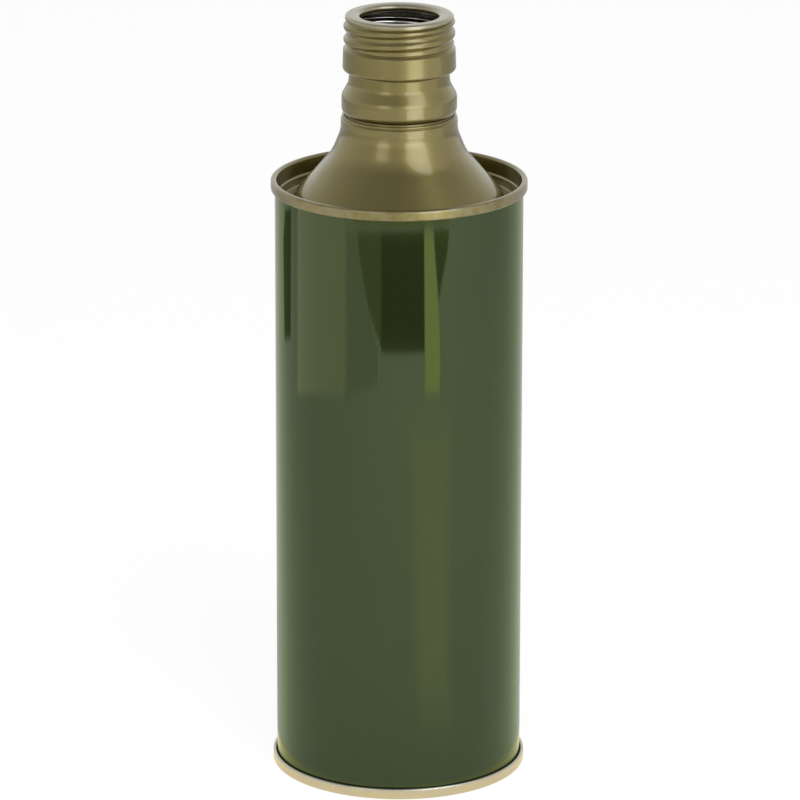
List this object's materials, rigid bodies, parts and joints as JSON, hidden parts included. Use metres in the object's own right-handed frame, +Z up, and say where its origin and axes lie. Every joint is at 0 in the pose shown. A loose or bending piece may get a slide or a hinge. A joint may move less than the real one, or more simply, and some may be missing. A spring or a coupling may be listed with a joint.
{
  "type": "tinplate bottle",
  "caption": "Slim round tinplate bottle with a double-seamed can body, a bell-shaped shoulder cone and an open screw-threaded neck for pouring liquids.",
  "frame": {"origin": "centre of the bottom seam's foot, on the plane the bottle stands on", "axes": "+Z up the bottle's axis, +Y towards the welded side seam at the back, -Y to the front, +X to the right"},
  "size_m": [0.0672, 0.0672, 0.2045],
  "materials": {
    "green_lacquer": "glossy transparent green lacquer over bright tinplate",
    "gold_lacquer": "semi-gloss gold-bronze lacquer over tinplate",
    "sealing_compound": "matt grey lining compound, squeezed inside the seams and out of sight"
  },
  "bodies": {
    "root": {"can_body": "green_lacquer", "shoulder_cone": "gold_lacquer", "bottom_end": "gold_lacquer", "threaded_neck": "gold_lacquer", "top_seam_compound": "sealing_compound", "bottom_seam_compound": "sealing_compound", "neck_seal": "sealing_compound"}
  },
  "joints": []
}
